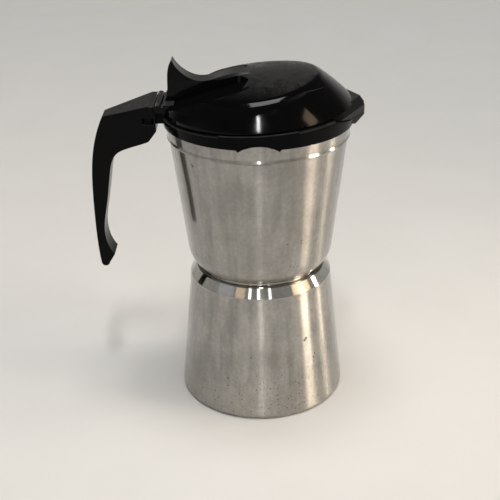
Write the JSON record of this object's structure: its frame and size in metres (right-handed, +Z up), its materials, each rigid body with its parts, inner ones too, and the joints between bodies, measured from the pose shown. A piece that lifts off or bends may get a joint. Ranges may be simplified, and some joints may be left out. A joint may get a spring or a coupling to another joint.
{
  "type": "moka pot",
  "caption": "Stovetop coffee maker: tapered boiler, flared upper pot screwed on top, black collar with pouring lip, drooping handle and hinged domed lid with a thumb fin.",
  "frame": {"origin": "middle of the base's underside, on the pot's axis", "axes": "+Z up along the pot's axis, +X to the spout, -X to the handle"},
  "size_m": [0.1581, 0.1138, 0.2094],
  "materials": {
    "polished_aluminium": "worn satin polish",
    "plain_aluminium": "as pressed",
    "black_plastic": "moulded gloss, worn",
    "brass": "turned",
    "steel": "plain",
    "rubber": "moulded"
  },
  "bodies": {
    "base": {"boiler": "polished_aluminium", "valve_body": "brass", "valve_nut": "brass", "valve_washer": "rubber", "valve_spring": "steel", "coffee_funnel": "plain_aluminium", "funnel_sieve": "plain_aluminium"},
    "plunger": {"valve_plunger": "brass"},
    "seal": {"gasket": "rubber", "filter_plate": "plain_aluminium"},
    "vessel": {"upper_vessel": "polished_aluminium", "column": "plain_aluminium", "column_cap": "plain_aluminium", "collar": "black_plastic", "handle": "black_plastic", "handle_screw": "steel", "hinge_pin": "steel"},
    "cover": {"lid": "black_plastic"}
  },
  "joints": [
    {"name": "vessel_lift", "type": "slide", "parent": "base", "child": "seal", "axis": [0, 0, 1], "range_m": [0, 0.0071]},
    {"name": "vessel_turn", "type": "hinge", "parent": "seal", "child": "vessel", "pos_m": [0, 0, 0.09], "axis": [0, 0, 1], "range_deg": [0, 630]},
    {"name": "lid_hinge", "type": "hinge", "parent": "vessel", "child": "cover", "pos_m": [-0.056, 0, 0.1842], "axis": [0, -1, 0], "range_deg": [0, 105]},
    {"name": "valve_lift", "type": "slide", "parent": "base", "child": "plunger", "axis": [0, 1, 0], "range_m": [0, 0.0015], "stiffness_N_per_m": 1500, "springref_m": -0.001, "deforming": ["valve_spring"]}
  ],
  "couplings": [
    {"joint": "vessel_lift", "follows": "vessel_turn", "m_per_rad": 0.00063662}
  ]
}
